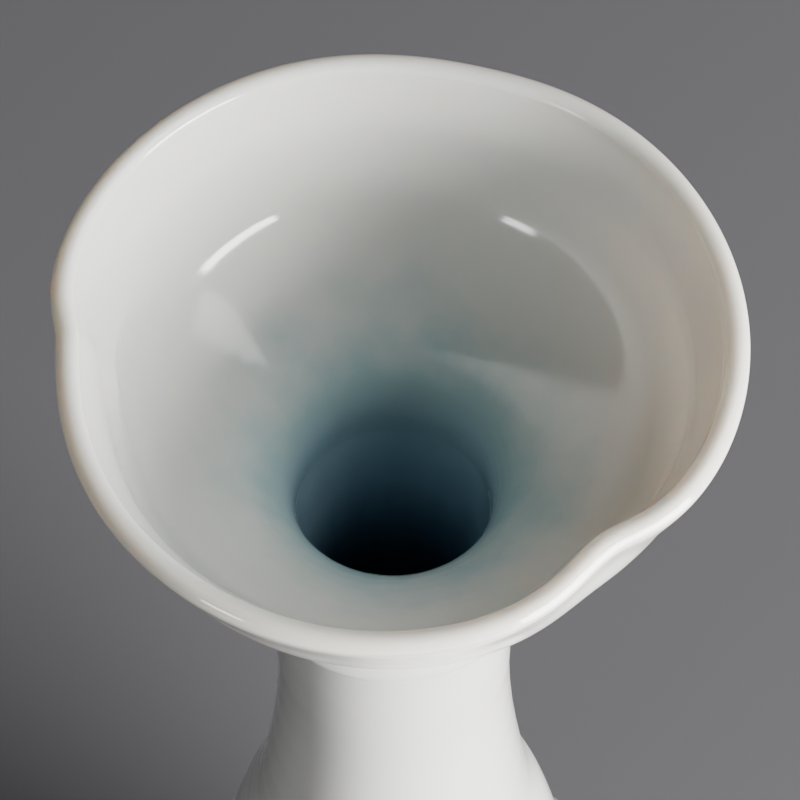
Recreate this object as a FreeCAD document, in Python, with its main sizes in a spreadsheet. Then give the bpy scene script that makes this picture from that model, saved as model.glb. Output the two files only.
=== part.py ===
"""Porcelain sake bottle with a three-lobed mouth, made as a potter makes it.

The lower body, the upper body, the neck and the mouth are thrown as separate sections and joined
with slip, a foot ring is luted under the floor, and glaze is fused over them as thin coats.
Millimetres. The origin is the centre of the circle that the foot stands on, and +Z is up.
Heights are measured up from the foot, depths are measured down from the rim.
"""
import FreeCAD, Part
import Sketcher
import math
import os

from FreeCAD import Vector

# Driving dimensions: name, value, what it is.
DIMENSIONS = (
    ("total_height", 210.0, "foot to rim"),
    ("glaze", 0.25, "thickness of every glaze coat"),
    ("rim_radius", 26.75, "outside of the rim at the tips of the lobes"),
    ("lip_radius", 0.95, "roundness of the lip, half its thickness"),
    ("wall_slant", 3.6, "how far the upright wall of the mouth leans out"),
    ("ridge_depth", 9.8, "depth of the ridge where wall and funnel meet"),
    ("mouth_wall", 1.9, "thickness of the wall of the mouth, glaze included"),
    ("throat_radius", 7.9, "inside of the neck, over the blue glaze"),
    ("throat_depth", 25.0, "depth where the funnel has become the neck"),
    ("pinch_fade_depth", 17.0, "depth where the pinches have died out"),
    ("back_pinch_angle", 76.0, "direction of the pinch at the back"),
    ("back_pinch_depth", 1.25, "how far it pulls the rim in"),
    ("back_pinch_before", 25.0, "degrees to half that depth, clockwise of it"),
    ("back_pinch_after", 32.0, "degrees to half that depth, on its other side"),
    ("side_pinch_angle", 181.0, "direction of the pinch at the side"),
    ("side_pinch_depth", 1.65, "how far it pulls the rim in"),
    ("side_pinch_before", 9.0, "degrees to half that depth, clockwise of it"),
    ("side_pinch_after", 32.0, "degrees to half that depth, on its other side"),
    ("front_pinch_angle", 311.0, "direction of the pinch at the front"),
    ("front_pinch_depth", 2.5, "how far it pulls the rim in"),
    ("front_pinch_before", 15.0, "degrees to half that depth, clockwise of it"),
    ("front_pinch_after", 11.5, "degrees to half that depth, on its other side"),
    ("collar_radius", 12.3, "outside of the collar under the mouth"),
    ("collar_depth", 34.5, "depth of the lower edge of the collar"),
    ("collar_edge", 1.1, "height of the rounded lower edge of the collar"),
    ("collar_waist", 11.5, "narrowest place above the collar"),
    ("spigot_depth", 28.0, "depth of the top of the neck inside the collar"),
    ("neck_radius", 9.95, "outside of the neck, over the glaze"),
    ("neck_foot_radius", 13.9, "outside where neck and shoulder are joined"),
    ("neck_foot_bore", 10.9, "inside where neck and shoulder are joined"),
    ("neck_foot_height", 126.0, "height of that joint"),
    ("neck_foot_slope", 0.31, "how far the wall leans in there, for each millimetre up"),
    ("neck_flare_height", 32.0, "how far above the joint the neck has become straight"),
    ("belly_radius", 38.0, "outside of the body at its widest"),
    ("belly_height", 45.0, "height of the widest place"),
    ("body_wall", 3.2, "wall of the body, both coats included"),
    ("floor_height", 10.5, "height of the inside floor, over the glaze"),
    ("foot_radius", 24.5, "outside of the foot ring"),
    ("foot_height", 6.0, "height of the foot ring"),
    ("foot_wall", 4.0, "width of the foot ring"),
    ("foot_chamfer", 0.8, "bevel on both edges of the foot"),
    ("bare_foot", 1.6, "height of the foot left without glaze"),
)

doc = FreeCAD.newDocument("sake_bottle")
sheet = doc.addObject("Spreadsheet::Sheet", "dims")


class Size:
    """A length that knows its value and its formula in the spreadsheet."""

    def __init__(self, value, formula):
        self.value = value
        self.formula = formula

    def combine(self, other, sign, result):
        """Join two lengths, or a length and a plain number, into one formula."""
        text = other.formula if isinstance(other, Size) else "%g" % other
        return Size(result, "(%s %s %s)" % (self.formula, sign, text))

    def __add__(self, other):
        return self.combine(other, "+", self.value + number(other))

    def __sub__(self, other):
        return self.combine(other, "-", self.value - number(other))

    def __mul__(self, other):
        return self.combine(other, "*", self.value * number(other))


def number(thing):
    """The plain value of a Size or of a number."""
    return thing.value if isinstance(thing, Size) else float(thing)


def fill_sheet():
    """Write the driving dimensions into the spreadsheet, each with its alias."""
    for row, (name, value, meaning) in enumerate(DIMENSIONS, start=1):
        sheet.set("A%d" % row, name)
        sheet.set("B%d" % row, str(value))
        sheet.set("C%d" % row, meaning)
        sheet.setAlias("B%d" % row, name)
    doc.recompute()


def dim(name):
    """One driving dimension, read back from the spreadsheet."""
    return Size(float(sheet.get(name)), "dims." + name)


# ------------------------------------------------------------ turned pieces

def between(low, high, share):
    """A place part of the way from one size to another."""
    return low + (high - low) * share


def bind_point(sketch, geometry, position, point, label):
    """Hold a sketch point at a radius and a height taken from the spreadsheet."""
    radius, height = point
    vertical_axis = -2
    horizontal_axis = -1
    if radius.value == 0:
        sketch.addConstraint(Sketcher.Constraint("PointOnObject", geometry, position, vertical_axis))
    else:
        name = label + "_radius"
        held = Sketcher.Constraint("DistanceX", -1, 1, geometry, position, radius.value)
        index = sketch.addConstraint(held)
        sketch.renameConstraint(index, name)
        sketch.setExpression("Constraints." + name, radius.formula)
    if height.value == 0:
        sketch.addConstraint(Sketcher.Constraint("PointOnObject", geometry, position, horizontal_axis))
    else:
        name = label + "_height"
        held = Sketcher.Constraint("DistanceY", -1, 1, geometry, position, height.value)
        index = sketch.addConstraint(held)
        sketch.renameConstraint(index, name)
        sketch.setExpression("Constraints." + name, height.formula)


def add_curve(sketch, poles, label):
    """Add a cubic B-spline and bind its control points, all but the last, to the sheet."""
    inner_knots = len(poles) - 4
    knots = [float(k) for k in range(inner_knots + 2)]
    mults = [4] + [1] * inner_knots + [4]
    spline = Part.BSplineCurve()
    places = [Vector(r.value, z.value, 0) for r, z in poles]
    spline.buildFromPolesMultsKnots(places, mults, knots, False, 3)
    geometry = sketch.addGeometry(spline, False)
    first_circle = geometry + 1
    sketch.exposeInternalGeometry(geometry)
    for index, pole in enumerate(poles[:-1]):
        bind_point(sketch, first_circle + index, 3, pole, "%s_pole%d" % (label, index + 1))
    return geometry


def turned_piece(name, outline):
    """Revolve a closed outline about +Z: each run of it is a list of points.

    Two points make a straight line and four or more are the poles of a curve. Every run
    starts where the one before it ends.
    """
    body = doc.addObject("PartDesign::Body", name)
    body.Label = name
    sketch = body.newObject("Sketcher::SketchObject", name + "_outline")
    planes = [plane for plane in body.Origin.OriginFeatures if plane.Role == "XZ_Plane"]
    sketch.AttachmentSupport = [(planes[0], "")]
    sketch.MapMode = "FlatFace"
    runs = []
    for count, run in enumerate(outline, start=1):
        label = "run%d" % count
        if len(run) == 2:
            ends = [Vector(r.value, z.value, 0) for r, z in run]
            geometry = sketch.addGeometry(Part.LineSegment(*ends), False)
            bind_point(sketch, geometry, 1, run[0], label)
        else:
            geometry = add_curve(sketch, run, label)
        runs.append(geometry)
    for this_run, next_run in zip(runs, runs[1:] + runs[:1]):
        sketch.addConstraint(Sketcher.Constraint("Coincident", this_run, 2, next_run, 1))
    revolution = body.newObject("PartDesign::Revolution", name + "_turning")
    revolution.Profile = sketch
    revolution.ReferenceAxis = (sketch, ["V_Axis"])
    revolution.Angle = 360.0
    body.Placement = FreeCAD.Placement()
    return body


def chain(points):
    """Straight runs through a list of points."""
    return [list(pair) for pair in zip(points, points[1:])]


def back(run):
    """The same run, drawn the other way."""
    return list(reversed(run))


def lower_outside(inset):
    """Outside of the lower body from the foot ring up to the belly."""
    foot = dim("foot_radius") - inset
    belly = dim("belly_radius") - inset
    low = dim("foot_height")
    high = dim("belly_height")
    return [
        (foot, low),
        (between(foot, belly, 0.62), between(low, high, 0.12)),
        (belly, between(low, high, 0.45)),
        (belly, high),
    ]


def lower_inside(inset):
    """Inside of the lower body from the floor up to the belly."""
    belly = dim("belly_radius") - dim("body_wall") + inset
    low = dim("floor_height") - inset
    high = dim("belly_height")
    return [
        (belly * 0.45, low),
        (belly * 0.80, low),
        (belly, between(low, high, 0.33)),
        (belly, high),
    ]


def shoulder(belly, joint):
    """A shoulder line from the belly up to the foot of the neck."""
    low = dim("belly_height")
    high = dim("neck_foot_height")
    flare = dim("neck_flare_height")
    return [
        (belly, low),
        (belly, between(low, high, 0.21)),
        (between(joint, belly, 0.33), between(low, high, 0.46)),
        (between(joint, belly, 0.15), between(low, high, 0.68)),
        (joint + dim("neck_foot_slope") * flare * 0.25, high - flare * 0.25),
        (joint, high),
    ]


def shoulder_outside(inset):
    """Outside of the upper body."""
    return shoulder(dim("belly_radius") - inset, dim("neck_foot_radius") - inset)


def shoulder_inside(inset):
    """Inside of the upper body."""
    belly = dim("belly_radius") - dim("body_wall") + inset
    return shoulder(belly, dim("neck_foot_bore") + inset)


def neck_flare(neck, joint):
    """A line from the joint up to where the neck runs straight."""
    low = dim("neck_foot_height")
    flare = dim("neck_flare_height")
    return [
        (joint, low),
        (joint - dim("neck_foot_slope") * flare * 0.12, low + flare * 0.12),
        (between(neck, joint, 0.45), low + flare * 0.28),
        (neck, low + flare * 0.78),
        (neck, low + flare),
    ]


def neck_outside(inset):
    """Outside of the neck below its straight length."""
    return neck_flare(dim("neck_radius") - inset, dim("neck_foot_radius") - inset)


def neck_inside(inset):
    """Inside of the neck below its straight length."""
    return neck_flare(dim("throat_radius") + inset, dim("neck_foot_bore") + inset)


def make_foot_ring():
    """Ring of clay under the floor, bevelled where it stands on the table."""
    coat = dim("glaze")
    outer = dim("foot_radius") - coat
    inner = dim("foot_radius") - dim("foot_wall") + coat
    top = dim("foot_height")
    bevel = dim("foot_chamfer")
    ground = Size(0.0, "0")
    corners = [
        (inner + bevel, ground),
        (outer - bevel, ground),
        (outer, bevel),
        (outer, top),
        (inner, top),
        (inner, bevel),
        (inner + bevel, ground),
    ]
    return turned_piece("foot_ring", chain(corners))


def make_lower_body():
    """Bowl with the floor, from the foot ring to the belly."""
    coat = dim("glaze")
    axis = Size(0.0, "0")
    outside = lower_outside(coat)
    inside = back(lower_inside(coat))
    floor_edge = inside[-1]
    floor_middle = (axis, floor_edge[1])
    underside = (axis, dim("foot_height"))
    outline = [outside, [outside[-1], inside[0]], inside]
    outline += chain([floor_edge, floor_middle, underside, outside[0]])
    return turned_piece("lower_body", outline)


def make_upper_body():
    """Shoulder section, from the belly to the foot of the neck."""
    coat = dim("glaze")
    outside = shoulder_outside(coat)
    inside = back(shoulder_inside(coat))
    outline = [outside, [outside[-1], inside[0]], inside, [inside[-1], outside[0]]]
    return turned_piece("upper_body", outline)


def make_neck():
    """Long tube whose top is a spigot inside the collar of the mouth."""
    coat = dim("glaze")
    top = dim("total_height") - dim("spigot_depth")
    outside = neck_outside(coat)
    inside = back(neck_inside(coat))
    outline = [outside]
    outline += chain([outside[-1], (outside[-1][0], top), (inside[0][0], top), inside[0]])
    outline += [inside, [inside[-1], outside[0]]]
    return turned_piece("neck", outline)


def make_outer_glaze():
    """White coat over foot, body and neck, up to the collar."""
    none = Size(0.0, "0")
    coat = dim("glaze")
    edge = dim("bare_foot")
    top = dim("total_height") - dim("collar_depth")
    lower, clay_lower = lower_outside(none), back(lower_outside(coat))
    upper, clay_upper = shoulder_outside(none), back(shoulder_outside(coat))
    neck, clay_neck = neck_outside(none), back(neck_outside(coat))
    foot = (lower[0][0], edge)
    clay_foot = (clay_lower[-1][0], edge)
    outline = [[foot, lower[0]], lower, upper, neck]
    outline += chain([neck[-1], (neck[-1][0], top), (clay_neck[0][0], top), clay_neck[0]])
    outline += [clay_neck, clay_upper, clay_lower]
    outline += chain([clay_lower[-1], clay_foot, foot])
    return turned_piece("outer_glaze", outline)


def make_blue_glaze():
    """Blue coat that lines the neck from its top down to the shoulder."""
    none = Size(0.0, "0")
    coat = dim("glaze")
    top = dim("total_height") - dim("spigot_depth")
    clay = neck_inside(coat)
    face = back(neck_inside(none))
    outline = [clay]
    outline += chain([clay[-1], (clay[-1][0], top), (face[0][0], top), face[0]])
    outline += [face, [face[-1], clay[0]]]
    return turned_piece("blue_neck_glaze", outline)


def make_inner_glaze():
    """Clear coat that lines the body and its floor."""
    none = Size(0.0, "0")
    coat = dim("glaze")
    axis = Size(0.0, "0")
    clay_lower, clay_upper = lower_inside(coat), shoulder_inside(coat)
    face_upper, face_lower = back(shoulder_inside(none)), back(lower_inside(none))
    clay_middle = (axis, clay_lower[0][1])
    face_middle = (axis, face_lower[-1][1])
    outline = [[clay_middle, clay_lower[0]], clay_lower, clay_upper]
    outline += [[clay_upper[-1], face_upper[0]], face_upper, face_lower]
    outline += chain([face_lower[-1], face_middle, clay_middle])
    return turned_piece("inner_glaze", outline)


def make_foot_glaze():
    """Coat inside the foot ring and under the floor."""
    coat = dim("glaze")
    axis = Size(0.0, "0")
    face = dim("foot_radius") - dim("foot_wall")
    clay = face + coat
    edge = dim("bare_foot")
    ceiling = dim("foot_height")
    corners = [
        (face, edge),
        (clay, edge),
        (clay, ceiling),
        (axis, ceiling),
        (axis, ceiling - coat),
        (face, ceiling - coat),
        (face, edge),
    ]
    return turned_piece("foot_glaze", chain(corners))


# ------------------------------------------------------------ three-lobed mouth

POINTS_ROUND = 60
PINCHES = ("back", "side", "front")


def value(name):
    """The plain value of one driving dimension."""
    return dim(name).value


def pinch(direction, depth):
    """How far the three pinches pull the wall in at a direction and a depth."""
    fade_depth = value("pinch_fade_depth")
    if depth >= fade_depth:
        return 0.0
    fade = math.cos(math.pi / 2 * depth / fade_depth) ** 2
    pull = 0.0
    for name in PINCHES:
        away = (direction - value(name + "_pinch_angle") + 180) % 360 - 180
        width = value(name + ("_pinch_before" if away < 0 else "_pinch_after"))
        opposite = 1 / (1 + (180 / width) ** 2)
        bend = (1 / (1 + (away / width) ** 2) - opposite) / (1 - opposite)
        pull += value(name + "_pinch_depth") * bend
    return pull * fade


def mouth_outside():
    """Meridian of the outside, from the collar up to the lip: radius and depth."""
    rim = value("rim_radius")
    collar = value("collar_radius")
    waist = value("collar_waist")
    edge = value("collar_edge")
    collar_depth = value("collar_depth")
    ridge_radius = rim - 2 * value("lip_radius") - value("wall_slant")
    ridge_depth = value("ridge_depth")
    corner = ridge_radius + value("mouth_wall") * 0.6
    corner_depth = ridge_depth + value("mouth_wall") * 0.7
    return [
        (collar - edge * 0.45, collar_depth),
        (collar, collar_depth - edge),
        (between(collar, waist, 0.19), collar_depth - edge * 2.7),
        (waist, between(collar_depth, corner_depth, 0.30)),
        (between(waist, collar, 0.12), between(collar_depth, corner_depth, 0.45)),
        (between(waist, corner, 0.20), between(collar_depth, corner_depth, 0.61)),
        (between(waist, corner, 0.62), between(collar_depth, corner_depth, 0.81)),
        (corner, corner_depth),
        (between(corner, rim, 0.55), corner_depth * 0.52),
    ]


def mouth_lip():
    """Meridian of the rounded lip, from outside to inside."""
    roundness = value("lip_radius")
    middle = value("rim_radius") - roundness
    places = []
    for degrees in range(0, 181, 30):
        turn = math.radians(degrees)
        places.append((middle + roundness * math.cos(turn), roundness * (1 - math.sin(turn))))
    return places


def mouth_inside():
    """Meridian of the inside, from under the lip down to the straight throat."""
    throat = value("throat_radius")
    throat_depth = value("throat_depth")
    lip = value("rim_radius") - 2 * value("lip_radius")
    ridge = lip - value("wall_slant")
    ridge_depth = value("ridge_depth")
    return [
        (between(lip, ridge, 0.62), ridge_depth * 0.55),
        (ridge, ridge_depth),
        (between(throat, ridge, 0.66), between(ridge_depth, throat_depth, 0.29)),
        (between(throat, ridge, 0.30), between(ridge_depth, throat_depth, 0.55)),
        (between(throat, ridge, 0.08), between(ridge_depth, throat_depth, 0.77)),
        (throat, throat_depth),
        (throat, value("spigot_depth")),
    ]


def mouth_rings(inset):
    """Closed rings over the mouth, moved into the clay by the inset, from collar to throat."""
    height = value("total_height")
    meridian = [Vector(r, depth, 0) for r, depth in mouth_outside() + mouth_lip() + mouth_inside()]
    line = Part.BSplineCurve()
    line.interpolate(meridian)
    rings = []
    for place in meridian:
        along = line.tangent(line.parameter(place))[0]
        into_clay = Vector(along.y, -along.x, 0) * inset
        if place is meridian[0] or place is meridian[-1]:
            into_clay.y = 0
        radius = place.x + into_clay.x
        level = height - place.y - into_clay.y
        ring = []
        for step in range(POINTS_ROUND):
            turn = 2 * math.pi * step / POINTS_ROUND
            reach = radius - pinch(math.degrees(turn), place.y)
            ring.append(Vector(reach * math.cos(turn), reach * math.sin(turn), level))
        curve = Part.BSplineCurve()
        curve.interpolate(ring, PeriodicFlag=True)
        rings.append(Part.Wire(curve.toShape()))
    return rings


def circle(radius, height):
    """A level circle about the axis of the bottle."""
    return Part.Wire(Part.makeCircle(radius, Vector(0, 0, height)))


def level_face(outer, inner):
    """Flat ring between two closed wires at one height."""
    return Part.makeFace([outer, inner], "Part::FaceMakerCheese")


def skin_faces(rings):
    """Smooth skin through a list of rings."""
    return Part.makeLoft(rings, False, False).Faces


def closed_solid(faces):
    """Solid inside faces that meet edge to edge."""
    shell = Part.Shell(faces)
    shell.sewShape()
    solid = Part.Solid(shell)
    if solid.Volume < 0:
        solid.reverse()
    return solid


def add_solid(name, shape):
    """Put a finished shape into the document under its own name."""
    piece = doc.addObject("Part::Feature", name)
    piece.Label = name
    piece.Shape = shape
    piece.Placement = FreeCAD.Placement()
    return piece


def make_mouth():
    """Clay of the mouth, with the socket that takes the spigot of the neck."""
    collar_base = value("total_height") - value("collar_depth")
    spigot_top = value("total_height") - value("spigot_depth")
    spigot = value("neck_radius") - value("glaze")
    rings = mouth_rings(value("glaze"))
    socket_rim = circle(spigot, collar_base)
    socket_end = circle(spigot, spigot_top)
    faces = skin_faces(rings) + skin_faces([socket_rim, socket_end])
    faces.append(level_face(rings[0], socket_rim))
    faces.append(level_face(socket_end, rings[-1]))
    return add_solid("mouth", closed_solid(faces))


def make_mouth_glaze():
    """White coat over the collar, the lip and the funnel, down to the blue."""
    outer = mouth_rings(0.0)
    clay = mouth_rings(value("glaze"))
    faces = skin_faces(outer) + skin_faces(clay)
    faces.append(level_face(outer[0], clay[0]))
    faces.append(level_face(clay[-1], outer[-1]))
    return add_solid("mouth_glaze", closed_solid(faces))


# ------------------------------------------------------------ build and write

def check(pieces):
    """Stop if anything failed to rebuild or is not one sound solid."""
    for thing in doc.Objects:
        bad = [word for word in thing.State if word in ("Invalid", "Error")]
        if bad:
            raise RuntimeError("%s is %s" % (thing.Name, bad))
    for piece in pieces:
        shape = piece.Shape
        if shape.isNull() or not shape.isValid() or len(shape.Solids) != 1 or shape.Volume <= 0:
            raise RuntimeError("%s is not one sound solid" % piece.Label)


def write(pieces):
    """Write each piece to its own STEP file."""
    os.makedirs("parts", exist_ok=True)
    for piece in pieces:
        piece.Shape.exportStep(os.path.join("parts", piece.Label + ".step"))
        box = piece.Shape.BoundBox
        print("%-16s %9.1f mm3, z %7.2f to %7.2f" % (piece.Label, piece.Shape.Volume, box.ZMin, box.ZMax))


fill_sheet()
PIECES = [
    make_foot_ring(),
    make_lower_body(),
    make_upper_body(),
    make_neck(),
    make_mouth(),
    make_outer_glaze(),
    make_mouth_glaze(),
    make_blue_glaze(),
    make_inner_glaze(),
    make_foot_glaze(),
]
doc.recompute()
check(PIECES)
write(PIECES)
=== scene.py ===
"""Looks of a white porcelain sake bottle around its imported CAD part.

Everything is in metres. The mouth and the two glaze coats that meet it are rebuilt here as fine
meshes on the same meridians as the CAD part, with the throwing marks and the uneven ridge of a
hand-made bottle. The other pieces are the CAD nodes with a material of their own.
Heights are measured up from the foot, and depths are measured down from the rim. Directions are
degrees round the bottle: 0 is the right, 90 the back, 180 the left and 270 the front.
"""
import math

import bpy
import numpy as np
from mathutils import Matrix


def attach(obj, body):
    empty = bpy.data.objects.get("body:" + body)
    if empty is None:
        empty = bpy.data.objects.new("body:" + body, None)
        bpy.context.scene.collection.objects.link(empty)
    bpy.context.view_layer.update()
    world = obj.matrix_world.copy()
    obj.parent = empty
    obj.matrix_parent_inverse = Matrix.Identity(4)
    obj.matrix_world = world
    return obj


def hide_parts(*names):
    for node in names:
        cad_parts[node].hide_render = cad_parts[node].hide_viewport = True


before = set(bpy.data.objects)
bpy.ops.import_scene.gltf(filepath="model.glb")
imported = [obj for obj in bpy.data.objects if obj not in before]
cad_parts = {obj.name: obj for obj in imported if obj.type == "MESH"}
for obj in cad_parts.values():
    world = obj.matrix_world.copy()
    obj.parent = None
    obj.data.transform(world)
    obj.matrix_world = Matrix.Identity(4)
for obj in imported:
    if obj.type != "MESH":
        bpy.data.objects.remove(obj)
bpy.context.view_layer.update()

MM = 0.001
RIM = 210.0 * MM
COAT = 0.25 * MM
AROUND = 384
SHARP = 0.03 * MM
SHARP_THIN = 0.02 * MM

# The three pinches of the mouth: direction, depth, and degrees to half depth on either side.
PINCHES = (
    (76.0, 1.25 * MM, 25.0, 32.0),
    (181.0, 1.65 * MM, 9.0, 32.0),
    (311.0, 2.5 * MM, 15.0, 11.5),
)
PINCH_FADE = 17.0 * MM
RIM_RADIUS = 26.75 * MM
LIP = 0.95 * MM
WALL_SLANT = 3.6 * MM
RIDGE_DEPTH = 9.8 * MM
MOUTH_WALL = 1.9 * MM
THROAT = 7.9 * MM
THROAT_DEPTH = 25.0 * MM
COLLAR = 12.3 * MM
COLLAR_DEPTH = 34.5 * MM
COLLAR_EDGE = 1.1 * MM
COLLAR_WAIST = 11.5 * MM
SPIGOT_DEPTH = 28.0 * MM
NECK = 9.95 * MM
NECK_FOOT = 13.9 * MM
NECK_FOOT_BORE = 10.9 * MM
NECK_FOOT_HEIGHT = 126.0 * MM
NECK_FOOT_SLOPE = 0.31
NECK_FLARE_HEIGHT = 32.0 * MM
BELLY = 38.0 * MM
BELLY_HEIGHT = 45.0 * MM
FOOT = 24.5 * MM
FOOT_HEIGHT = 6.0 * MM
BARE_FOOT = 1.6 * MM

# The ridge under the upright wall: where it rises, by how much, and how its section swells.
RIDGE_LIFT_ANGLE = 172.0
RIDGE_LIFT_SPREAD = 16.0
RIDGE_LIFT = 2.6 * MM
BEAD = 0.24 * MM
BEAD_SPREAD = 1.5 * MM
HOLLOW = 0.30 * MM
HOLLOW_SPREAD = 2.0 * MM
HOLLOW_ABOVE = 3.2 * MM

# Throwing marks: spacing, size, and a number that sets their drift.
FUNNEL_MARKS = (1.0 * MM, 0.010 * MM, 0.4)
BODY_MARKS = (5.2 * MM, 0.016 * MM, 1.1)


# ------------------------------------------------------------ curves

def between(low, high, share):
    """A value part of the way from one to another."""
    return low + (high - low) * share


def pole_curve(poles, count):
    """Points on the cubic B-spline with these poles, clamped at both ends."""
    poles = np.array(poles, float)
    spans = len(poles) - 3
    knots = np.concatenate([[0.0] * 3, np.arange(spans + 1), [float(spans)] * 3])
    points = []
    for place in np.linspace(0.0, spans, count):
        span = min(int(place), spans - 1) + 3
        near = [poles[span - 3 + j].copy() for j in range(4)]
        for level in range(1, 4):
            for j in range(3, level - 1, -1):
                low = knots[span - 3 + j]
                high = knots[span + 1 + j - level]
                share = (place - low) / (high - low)
                near[j] = (1.0 - share) * near[j - 1] + share * near[j]
        points.append(near[3])
    return np.array(points)


def smooth_curve(places, per_span):
    """A natural cubic spline through the places, which may turn back on itself."""
    places = np.array(places, float)
    steps = np.sqrt(np.linalg.norm(np.diff(places, axis=0), axis=1))
    along = np.concatenate([[0.0], np.cumsum(steps)])
    count = len(places)
    system = np.eye(count)
    right = np.zeros_like(places)
    for i in range(1, count - 1):
        before = along[i] - along[i - 1]
        after = along[i + 1] - along[i]
        system[i, i - 1:i + 2] = before / 6, (before + after) / 3, after / 6
        right[i] = (places[i + 1] - places[i]) / after - (places[i] - places[i - 1]) / before
    bend = np.linalg.solve(system, right)
    points = []
    for i in range(count - 1):
        gap = along[i + 1] - along[i]
        for step in range(per_span):
            b = step / per_span
            a = 1.0 - b
            curved = ((a ** 3 - a) * bend[i] + (b ** 3 - b) * bend[i + 1]) * gap ** 2 / 6
            points.append(a * places[i] + b * places[i + 1] + curved)
    points.append(places[-1])
    return np.array(points)


# ------------------------------------------------------------ meshes

def closed_mesh(name, rings, materials, inside_from=None, inside_to=None):
    """A closed tube of rings: each ring joins the next, and the last joins the first.

    The first material covers it all but the rings of the inside, which take the second.
    """
    count, around, _ = rings.shape
    quads = []
    kinds = []
    for i in range(count):
        ring = i * around
        following = (i + 1) % count * around
        inside = inside_from is not None and inside_from <= i < inside_to
        for j in range(around):
            after = (j + 1) % around
            quads.append((ring + j, ring + after, following + after, following + j))
            kinds.append(1 if inside else 0)
    mesh = bpy.data.meshes.new(name)
    mesh.from_pydata([tuple(p) for p in rings.reshape(-1, 3)], [], quads)
    for material in materials:
        mesh.materials.append(material)
    mesh.polygons.foreach_set("material_index", kinds)
    mesh.polygons.foreach_set("use_smooth", [True] * len(quads))
    mesh.update()
    piece = bpy.data.objects.new(name, mesh)
    bpy.context.scene.collection.objects.link(piece)
    return piece


def directions():
    """Degrees round the bottle, one for each point of a ring."""
    return np.linspace(0.0, 360.0, AROUND, endpoint=False)


def away_from(angle):
    """Degrees from a direction to each point of a ring, between -180 and 180."""
    return (directions() - angle + 180.0) % 360.0 - 180.0


def pinch(depth):
    """How far the pinches pull a ring in at this depth, all the way round."""
    if depth >= PINCH_FADE:
        return np.zeros(AROUND)
    fade = math.cos(math.pi / 2 * max(depth, 0.0) / PINCH_FADE) ** 2
    pull = np.zeros(AROUND)
    for angle, deep, before, after in PINCHES:
        away = away_from(angle)
        width = np.where(away < 0.0, before, after)
        opposite = 1.0 / (1.0 + (180.0 / width) ** 2)
        pull += deep * (1.0 / (1.0 + (away / width) ** 2) - opposite) / (1.0 - opposite)
    return pull * fade


def wheel_marks(height, length, size, seed):
    """Uneven throwing marks: rings of a given spacing that fade in and out round the wall.

    Two sets of rings whose spacings share no common step keep the marks from repeating.
    """
    turn = np.radians(directions())
    phase = 2.0 * math.pi * height / length
    drift = 0.5 * np.sin(turn + seed) + 0.3 * np.sin(2.0 * turn + 2.0 * seed)
    strength = 0.6 + 0.4 * np.sin(turn + 1.7 * seed + height / (7.0 * length))
    slow = np.sin(phase + drift)
    fast = 0.4 * np.sin(2.3 * phase + 1.3 * drift + seed)
    return size * strength * (slow + fast)


def ring_at(radius, height, pull):
    """One level ring, its radius changed by the pull at each direction."""
    turn = np.radians(directions())
    reach = radius - pull
    return np.stack([reach * np.cos(turn), reach * np.sin(turn), np.full(AROUND, height)], axis=1)


# ------------------------------------------------------------ mouth

def mouth_places():
    """Places (radius, depth) on the skin of the mouth: outside, lip and inside."""
    ridge = RIM_RADIUS - 2 * LIP - WALL_SLANT
    corner = ridge + 0.6 * MOUTH_WALL
    corner_depth = RIDGE_DEPTH + 0.7 * MOUTH_WALL
    outside = [
        (COLLAR - COLLAR_EDGE * 0.45, COLLAR_DEPTH),
        (COLLAR, COLLAR_DEPTH - COLLAR_EDGE),
        (between(COLLAR, COLLAR_WAIST, 0.19), COLLAR_DEPTH - COLLAR_EDGE * 2.7),
        (COLLAR_WAIST, between(COLLAR_DEPTH, corner_depth, 0.30)),
        (between(COLLAR_WAIST, COLLAR, 0.12), between(COLLAR_DEPTH, corner_depth, 0.45)),
        (between(COLLAR_WAIST, corner, 0.20), between(COLLAR_DEPTH, corner_depth, 0.61)),
        (between(COLLAR_WAIST, corner, 0.62), between(COLLAR_DEPTH, corner_depth, 0.81)),
        (corner, corner_depth),
        (between(corner, RIM_RADIUS, 0.55), corner_depth * 0.52),
    ]
    middle = RIM_RADIUS - LIP
    lip = []
    for degrees in range(0, 181, 30):
        turn = math.radians(degrees)
        lip.append((middle + LIP * math.cos(turn), LIP * (1 - math.sin(turn))))
    under_lip = RIM_RADIUS - 2 * LIP
    inside = [
        (between(under_lip, ridge, 0.62), RIDGE_DEPTH * 0.55),
        (ridge, RIDGE_DEPTH),
        (between(THROAT, ridge, 0.66), between(RIDGE_DEPTH, THROAT_DEPTH, 0.29)),
        (between(THROAT, ridge, 0.30), between(RIDGE_DEPTH, THROAT_DEPTH, 0.55)),
        (between(THROAT, ridge, 0.08), between(RIDGE_DEPTH, THROAT_DEPTH, 0.77)),
        (THROAT, THROAT_DEPTH),
        (THROAT, SPIGOT_DEPTH),
    ]
    return outside, lip, inside


def ridge_bead(depth):
    """How far the soft ridge at the foot of the upright wall stands in, all the way round."""
    lift = RIDGE_LIFT * np.exp(-(away_from(RIDGE_LIFT_ANGLE) / RIDGE_LIFT_SPREAD) ** 2)
    below = depth - (RIDGE_DEPTH - lift)
    bead = BEAD * np.exp(-(below / BEAD_SPREAD) ** 2)
    hollow = HOLLOW * np.exp(-((below + HOLLOW_ABOVE) / HOLLOW_SPREAD) ** 2)
    return bead - hollow


def crisp_run(corners):
    """Straight runs through corners, with a point close by on either side to keep each one sharp."""
    points = []
    for start, end in zip(corners, corners[1:]):
        start = np.array(start, float)
        end = np.array(end, float)
        step = (end - start) / np.linalg.norm(end - start) * SHARP
        points += [start, start + step, end - step]
    return points + [np.array(corners[-1], float)]


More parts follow.
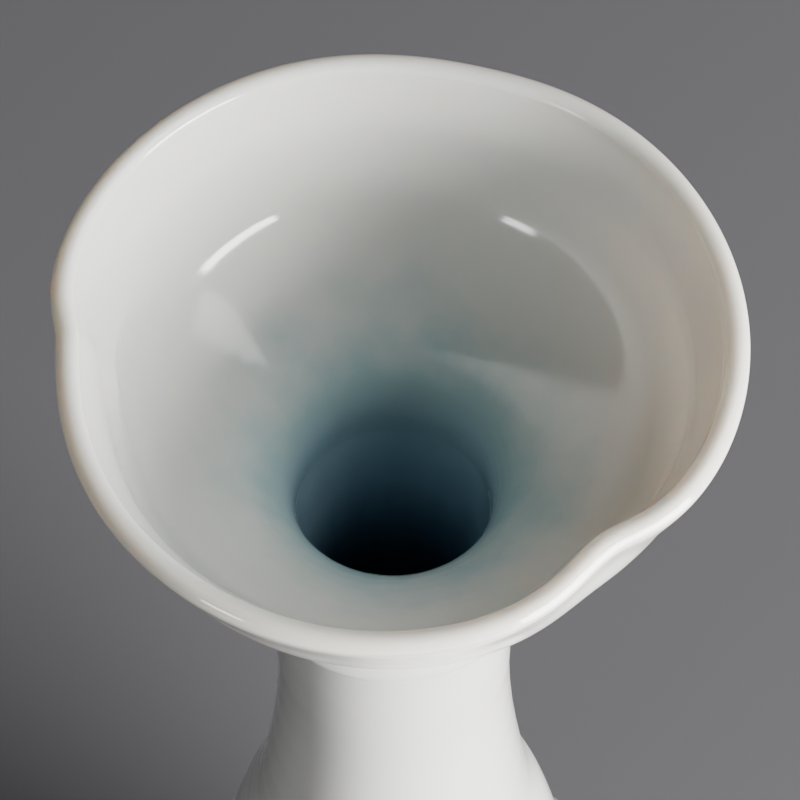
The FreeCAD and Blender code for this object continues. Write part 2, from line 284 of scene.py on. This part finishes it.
def sharp_ends(line, after_first, before_last):
    """The line with one more point close to each end, moved straight up or down from it."""
    second = line[:1] + (0.0, after_first)
    last_but_one = line[-1:] + (0.0, before_last)
    return np.concatenate([line[:1], second, line[1:-1], last_but_one, line[-1:]])


def make_mouth(white, funnel):
    """The mouth at its full wall: outside, over the lip, down the funnel, and its socket."""
    per_span = 12
    fade = 4.0 * MM
    outside, lip, inside = mouth_places()
    skin = sharp_ends(smooth_curve(outside + lip + inside, per_span), -SHARP, -SHARP)
    lip_top = (len(outside) + len(lip) // 2) * per_span + 1
    spacing, size, seed = FUNNEL_MARKS
    spigot = NECK - COAT
    corners = [skin[-1], (spigot, SPIGOT_DEPTH), (spigot, COLLAR_DEPTH), skin[0]]
    socket = crisp_run(corners)[1:-1]
    rings = []
    for i, (radius, depth) in enumerate(skin):
        pull = pinch(depth)
        if i > lip_top:
            calm = min(1.0, depth / fade, (SPIGOT_DEPTH - depth) / fade)
            pull = pull + wheel_marks(RIM - depth, spacing, size * calm, seed)
            pull = pull + ridge_bead(depth) * calm
        rings.append(ring_at(radius, RIM - depth, pull))
    for radius, depth in socket:
        rings.append(ring_at(radius, RIM - depth, 0.0))
    piece = closed_mesh("mouth_section", np.array(rings), [white, funnel], lip_top, len(skin) - 1)
    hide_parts("mouth", "mouth_glaze")
    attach(piece, "root")
    return piece


# ------------------------------------------------------------ body and neck

def lower_poles(inset):
    """Poles of the outside from the foot ring up to the belly."""
    foot = FOOT - inset
    belly = BELLY - inset
    return [
        (foot, FOOT_HEIGHT),
        (between(foot, belly, 0.62), between(FOOT_HEIGHT, BELLY_HEIGHT, 0.12)),
        (belly, between(FOOT_HEIGHT, BELLY_HEIGHT, 0.45)),
        (belly, BELLY_HEIGHT),
    ]


def shoulder_poles(inset):
    """Poles of the outside from the belly up to the foot of the neck."""
    belly = BELLY - inset
    joint = NECK_FOOT - inset
    low = BELLY_HEIGHT
    high = NECK_FOOT_HEIGHT
    flare = NECK_FLARE_HEIGHT
    return [
        (belly, low),
        (belly, between(low, high, 0.21)),
        (between(joint, belly, 0.33), between(low, high, 0.46)),
        (between(joint, belly, 0.15), between(low, high, 0.68)),
        (joint + NECK_FOOT_SLOPE * flare * 0.25, high - flare * 0.25),
        (joint, high),
    ]


def neck_poles(neck, joint):
    """Poles of the neck's outside or inside, up to where it runs straight."""
    low = NECK_FOOT_HEIGHT
    flare = NECK_FLARE_HEIGHT
    return [
        (joint, low),
        (joint - NECK_FOOT_SLOPE * flare * 0.12, low + flare * 0.12),
        (between(neck, joint, 0.45), low + flare * 0.28),
        (neck, low + flare * 0.78),
        (neck, low + flare),
    ]


def straight(low, high, count):
    """Points on a straight run, without its first point."""
    low = np.array(low, float)
    high = np.array(high, float)
    return np.array([low + (high - low) * (i + 1) / count for i in range(count)])


def outside_line(inset):
    """Meridian of the outside from the bare edge of the foot to the collar."""
    collar_base = RIM - COLLAR_DEPTH
    bare_edge = BARE_FOOT - 0.2 * MM
    foot = straight((FOOT - inset, bare_edge), (FOOT - inset, FOOT_HEIGHT), 10)
    lower = pole_curve(lower_poles(inset), 60)[1:]
    shoulder = pole_curve(shoulder_poles(inset), 110)[1:]
    neck = pole_curve(neck_poles(NECK - inset, NECK_FOOT - inset), 50)[1:]
    top = straight(neck[-1], (NECK - inset, collar_base), 30)
    return np.concatenate([foot, lower, shoulder, neck, top])


def make_outer_coat(white):
    """Coat over foot, body and neck, with soft throwing marks and rounded edges."""
    fade_low = 9.0 * MM
    fade_high = 5.0 * MM
    edge_round = 0.4 * COAT
    hidden_step = 4
    spacing, size, seed = BODY_MARKS
    face = outside_line(0.0)
    back = outside_line(COAT)
    rings = []
    last = len(face) - 1
    for i, (radius, height) in enumerate(face):
        calm = min(1.0, (height - BARE_FOOT) / fade_low, (RIM - COLLAR_DEPTH - height) / fade_high)
        pull = wheel_marks(height, spacing, size * max(calm, 0.0), seed)
        if i == 0 or i == last:
            pull = pull + edge_round
        rings.append(ring_at(radius, height, pull))
    hidden_side = list(back[::-hidden_step])
    if not np.allclose(hidden_side[-1], back[0]):
        hidden_side.append(back[0])
    for radius, height in hidden_side:
        rings.append(ring_at(radius, height, 0.0))
    piece = closed_mesh("outer_glaze_coat", np.array(rings), [white])
    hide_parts("outer_glaze")
    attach(piece, "root")
    return piece


def make_blue_coat(blue):
    """Blue coat that lines the neck from its top down to the shoulder."""
    face = pole_curve(neck_poles(THROAT, NECK_FOOT_BORE), 50)
    face = np.concatenate([face, straight(face[-1], (THROAT, RIM - SPIGOT_DEPTH), 40)])
    face = sharp_ends(face, SHARP_THIN, -SHARP_THIN)
    back = face + (COAT, 0.0)
    rings = [ring_at(radius, height, 0.0) for radius, height in face[::-1]]
    rings += [ring_at(radius, height, 0.0) for radius, height in back]
    piece = closed_mesh("blue_glaze_lining", np.array(rings), [blue])
    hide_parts("blue_neck_glaze")
    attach(piece, "root")
    return piece


# ------------------------------------------------------------ materials

def node(tree, kind, **settings):
    """Add a shader node with its settings."""
    made = tree.nodes.new(kind)
    for key, setting in settings.items():
        setattr(made, key, setting)
    return made


def ramp(tree, source, stops):
    """A colour ramp of (place, colour) stops, fed by a value."""
    made = node(tree, "ShaderNodeValToRGB")
    elements = made.color_ramp.elements
    while len(elements) < len(stops):
        elements.new(1.0)
    for element, (place, colour) in zip(elements, stops):
        element.position = place
        element.color = (*colour, 1.0)
    tree.links.new(source, made.inputs["Fac"])
    return made.outputs["Color"]


def map_range(tree, source, low, high, to_low=0.0, to_high=1.0):
    """Stretch a value from one range to another, clamped."""
    made = node(tree, "ShaderNodeMapRange")
    made.inputs["From Min"].default_value = low
    made.inputs["From Max"].default_value = high
    made.inputs["To Min"].default_value = to_low
    made.inputs["To Max"].default_value = to_high
    tree.links.new(source, made.inputs["Value"])
    return made.outputs["Result"]


def noise(tree, where, scale, detail=2.0, stretch=(1, 1, 1)):
    """Cloudy noise over the object's own coordinates."""
    mapping = node(tree, "ShaderNodeMapping")
    mapping.inputs["Scale"].default_value = stretch
    tree.links.new(where, mapping.inputs["Vector"])
    made = node(tree, "ShaderNodeTexNoise")
    made.inputs["Scale"].default_value = scale
    made.inputs["Detail"].default_value = detail
    tree.links.new(mapping.outputs["Vector"], made.inputs["Vector"])
    return made.outputs["Fac"]


def maths(tree, operation, first, second):
    """A maths node whose inputs are sockets or plain numbers."""
    made = node(tree, "ShaderNodeMath", operation=operation)
    for socket, thing in zip(made.inputs, (first, second)):
        if isinstance(thing, (int, float)):
            socket.default_value = thing
        else:
            tree.links.new(thing, socket)
    return made.outputs["Value"]


def mix_colour(tree, share, first, second, blend="MIX"):
    """Mix two colours, each a socket or a plain colour."""
    made = node(tree, "ShaderNodeMix", data_type="RGBA", blend_type=blend)
    if isinstance(share, (int, float)):
        made.inputs["Factor"].default_value = share
    else:
        tree.links.new(share, made.inputs["Factor"])
    for name, thing in (("A", first), ("B", second)):
        socket = [s for s in made.inputs if s.name == name and s.type == "RGBA"][0]
        if isinstance(thing, tuple):
            socket.default_value = (*thing, 1.0)
        else:
            tree.links.new(thing, socket)
    return [s for s in made.outputs if s.type == "RGBA"][0]


def add_bump(tree, shader, height, strength, distance):
    """Fine relief on the surface, from a value taken as its height."""
    bump = node(tree, "ShaderNodeBump")
    bump.inputs["Strength"].default_value = strength
    bump.inputs["Distance"].default_value = distance
    tree.links.new(height, bump.inputs["Height"])
    tree.links.new(bump.outputs["Normal"], shader.inputs["Normal"])


def new_material(name):
    """A material with its node tree, its shader and the object's own coordinates."""
    material = bpy.data.materials.new(name)
    material.use_nodes = True
    tree = material.node_tree
    where = node(tree, "ShaderNodeTexCoord").outputs["Object"]
    return material, tree, tree.nodes["Principled BSDF"], where


WHITE = (0.66, 0.66, 0.635)
# The cream is a painted warm glow of light through the thin lip.
LIP_GLOW_CREAM = (0.74, 0.71, 0.64)
SPECK = (0.18, 0.12, 0.08)
CLOUD_STOPS = (
    (0.30, (0.965, 0.975, 0.97)),
    (0.70, (1.0, 1.0, 0.995)),
)

# The blue comes in with depth, palest where it starts and clear in the throat. Deep in the neck it
# darkens towards near black: partly the glaze's deep blue, partly painted shade in the narrow neck.
BLUE_FROM = 15.0 * MM
BLUE_TO = 50.0 * MM
BLUE_AND_NECK_SHADE_STOPS = (
    (0.00, WHITE),
    (0.08, (0.55, 0.60, 0.59)),
    (0.18, (0.36, 0.49, 0.51)),
    (0.30, (0.34, 0.49, 0.57)),
    (0.45, (0.42, 0.60, 0.72)),
    (0.60, (0.42, 0.60, 0.74)),
    # These last stops darken the deep neck: partly deep blue glaze, partly painted shade.
    (0.80, (0.24, 0.37, 0.49)),
    (1.00, (0.10, 0.16, 0.22)),
)

# Painted shade: the funnel is greyed more with depth below the upright wall, where less light
# reaches.
FUNNEL_SHADE_FROM = 7.0 * MM
FUNNEL_SHADE_TO = 17.0 * MM
FUNNEL_SHADE_STOPS = (
    (0.00, (1.00, 1.00, 1.00)),
    (0.45, (0.90, 0.91, 0.90)),
    (1.00, (0.82, 0.84, 0.83)),
)

# Light that glows through the thin wall fades out between these depths.
GLOW_FROM = 9.0 * MM
GLOW_TO = 22.0 * MM

# Painted glow: the white glaze warms to cream on the thin lip, standing in for light that shines
# through it.
LIP_GLOW_FROM = 2.6 * MM
LIP_GLOW_TO = 0.2 * MM
LIP_GLOW_SHARE = 0.55


def white_with_painted_lip_glow(tree, height):
    """White glaze warmed to cream on the lip: a painted glow of light through the thin lip."""
    thin = map_range(tree, height, RIM - LIP_GLOW_FROM, RIM - LIP_GLOW_TO)
    thin = maths(tree, "MULTIPLY", thin, LIP_GLOW_SHARE)
    return mix_colour(tree, thin, WHITE, LIP_GLOW_CREAM)


def blue_with_depth(tree, where, depth):
    """White glaze that turns blue with depth, in uneven runs and soft pools, and greyed down the
    funnel by painted shade.
    """
    run_reach = 6.0 * MM
    pool_reach = 7.0 * MM
    runs = noise(tree, where, 260.0, 4.0, (1.0, 1.0, 0.22))
    pools = noise(tree, where, 95.0, 3.0)
    wander = maths(tree, "MULTIPLY", maths(tree, "SUBTRACT", runs, 0.5), run_reach)
    drift = maths(tree, "MULTIPLY", maths(tree, "SUBTRACT", pools, 0.5), pool_reach)
    uneven = maths(tree, "ADD", depth, maths(tree, "ADD", wander, drift))
    glaze = ramp(tree, map_range(tree, uneven, BLUE_FROM, BLUE_TO), BLUE_AND_NECK_SHADE_STOPS)
    # painted shade: greys the funnel more with depth
    painted_funnel_shade = ramp(tree, map_range(tree, depth, FUNNEL_SHADE_FROM, FUNNEL_SHADE_TO), FUNNEL_SHADE_STOPS)
    return mix_colour(tree, 1.0, glaze, painted_funnel_shade, "MULTIPLY")


def with_specks(tree, where, colour):
    """The colour with a few tiny iron specks."""
    specks = noise(tree, where, 900.0, 0.0)
    speck = map_range(tree, specks, 0.89, 0.91)
    return mix_colour(tree, speck, colour, SPECK)


def porcelain(name, blue=False, glow=0.0):
    """Glossy glaze over porcelain: white, or for the funnel and the neck blue with depth."""
    material, tree, shader, where = new_material(name)
    split = node(tree, "ShaderNodeSeparateXYZ")
    tree.links.new(where, split.inputs[0])
    height = split.outputs["Z"]
    depth = maths(tree, "SUBTRACT", RIM, height)
    tint = ramp(tree, noise(tree, where, 55.0, 3.0), CLOUD_STOPS)
    if blue:
        colour = mix_colour(tree, 1.0, blue_with_depth(tree, where, depth), tint, "MULTIPLY")
    else:
        # the cream on the lip is a painted glow of light through the thin lip
        colour = mix_colour(tree, 1.0, white_with_painted_lip_glow(tree, height), tint, "MULTIPLY")
        colour = with_specks(tree, where, colour)
    tree.links.new(colour, shader.inputs["Base Color"])
    gloss = map_range(tree, noise(tree, where, 140.0, 2.0), 0.3, 0.7, 0.07, 0.14)
    tree.links.new(gloss, shader.inputs["Roughness"])
    shader.inputs["IOR"].default_value = 1.5
    through = map_range(tree, depth, GLOW_FROM, GLOW_TO, glow, 0.0)
    tree.links.new(through, shader.inputs["Subsurface Weight"])
    shader.inputs["Subsurface Radius"].default_value = (1.0, 0.80, 0.62)
    shader.inputs["Subsurface Scale"].default_value = 3.0 * MM
    add_bump(tree, shader, noise(tree, where, 700.0, 2.0), 0.06, 0.02 * MM)
    return material


def clay(name, colour, roughness):
    """Fired porcelain body: matt, finely grained, faintly cloudy."""
    material, tree, shader, where = new_material(name)
    grain = noise(tree, where, 1800.0, 3.0)
    cloud = noise(tree, where, 90.0, 3.0)
    darker = tuple(c * 0.93 for c in colour)
    tone = ramp(tree, cloud, ((0.3, darker), (0.7, colour)))
    tree.links.new(tone, shader.inputs["Base Color"])
    rough = map_range(tree, grain, 0.3, 0.7, roughness - 0.06, roughness + 0.06)
    tree.links.new(rough, shader.inputs["Roughness"])
    add_bump(tree, shader, grain, 0.35, 0.03 * MM)
    return material


def give(node_name, material):
    """Give a carried-over CAD node its material."""
    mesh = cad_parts[node_name].data
    mesh.materials.clear()
    mesh.materials.append(material)
    for polygon in mesh.polygons:
        polygon.use_smooth = True


# ------------------------------------------------------------ stage

FLOOR_REACH = 3.0
FLOOR_HEIGHT = -0.02 * MM
FLOOR_GREY = (0.074, 0.072, 0.080, 1.0)
WORLD_TINT = (0.95, 0.97, 1.0, 1.0)
WORLD_STRENGTH = 0.08
CAMERA_PLACE = (0.55 * MM, -148.67 * MM, RIM + 241.6 * MM)
CAMERA_ELEVATION = 59.41
CAMERA_LENS = 172.35


def make_floor():
    """Plain level floor, evenly grey, just under the foot."""
    reach = FLOOR_REACH
    mesh = bpy.data.meshes.new("floor")
    corners = [(-reach, -reach), (reach, -reach), (reach, reach), (-reach, reach)]
    mesh.from_pydata([(x, y, FLOOR_HEIGHT) for x, y in corners], [], [(0, 1, 2, 3)])
    floor = bpy.data.objects.new("floor", mesh)
    bpy.context.scene.collection.objects.link(floor)
    material = bpy.data.materials.new("floor_paper")
    material.use_nodes = True
    shader = material.node_tree.nodes["Principled BSDF"]
    shader.inputs["Base Color"].default_value = FLOOR_GREY
    shader.inputs["Roughness"].default_value = 0.9
    mesh.materials.append(material)


def aim(thing, target):
    """Turn a light so that it shines at the target."""
    away = np.array(thing.location) - np.array(target)
    flat = math.hypot(away[0], away[1])
    thing.rotation_euler = (math.atan2(flat, away[2]), 0.0, math.atan2(away[0], -away[1]))


def soft_light(name, direction, height, distance, size, power, colour=(1.0, 1.0, 1.0)):
    """A soft panel light at a direction, height and distance that shines at the mouth."""
    data = bpy.data.lights.new(name, "AREA")
    data.shape = "RECTANGLE"
    data.size = size[0]
    data.size_y = size[1]
    data.energy = power
    data.color = colour
    light = bpy.data.objects.new(name, data)
    turn = math.radians(direction)
    light.location = (distance * math.cos(turn), distance * math.sin(turn), height)
    aim(light, (0.0, 0.0, RIM))
    bpy.context.scene.collection.objects.link(light)


def make_lights():
    """Low window on the front right, a high one, a small one on the left, and a dim surround."""
    warm = (1.0, 0.99, 0.965)
    soft_light("window", -33, height=0.28, distance=0.80, size=(0.44, 0.50), power=40.0, colour=warm)
    soft_light("high_window", 10, height=0.80, distance=0.58, size=(0.60, 0.50), power=5.6)
    soft_light("left_window", -134, height=0.47, distance=0.80, size=(0.16, 0.12), power=1.6)
    world = bpy.data.worlds.new("surround")
    bpy.context.scene.world = world
    world.use_nodes = True
    background = world.node_tree.nodes["Background"]
    background.inputs["Color"].default_value = WORLD_TINT
    background.inputs["Strength"].default_value = WORLD_STRENGTH


def make_camera():
    """Close camera that looks down into the mouth from the front."""
    data = bpy.data.cameras.new("camera")
    data.sensor_width = 36.0
    data.lens = CAMERA_LENS
    data.clip_start = 0.01
    camera = bpy.data.objects.new("camera", data)
    camera.location = CAMERA_PLACE
    camera.rotation_euler = (math.radians(90.0 - CAMERA_ELEVATION), 0.0, 0.0)
    bpy.context.scene.collection.objects.link(camera)
    bpy.context.scene.camera = camera


make_camera()
make_floor()
make_lights()

white_glaze = porcelain("white_glaze_gloss")
mouth_glaze = porcelain("mouth_glaze_gloss", glow=0.6)
funnel_glaze = porcelain("funnel_glaze_gloss", blue=True, glow=0.6)
lining_glaze = porcelain("lining_glaze_gloss", blue=True)
body_clay = clay("porcelain_body", (0.84, 0.83, 0.80), 0.55)
bare_clay = clay("bare_porcelain_foot", (0.78, 0.74, 0.67), 0.62)

make_mouth(mouth_glaze, funnel_glaze)
make_outer_coat(white_glaze)
make_blue_coat(lining_glaze)

for name in ("lower_body", "upper_body", "neck"):
    give(name, body_clay)
give("foot_ring", bare_clay)
give("foot_glaze", white_glaze)
give("inner_glaze", lining_glaze)
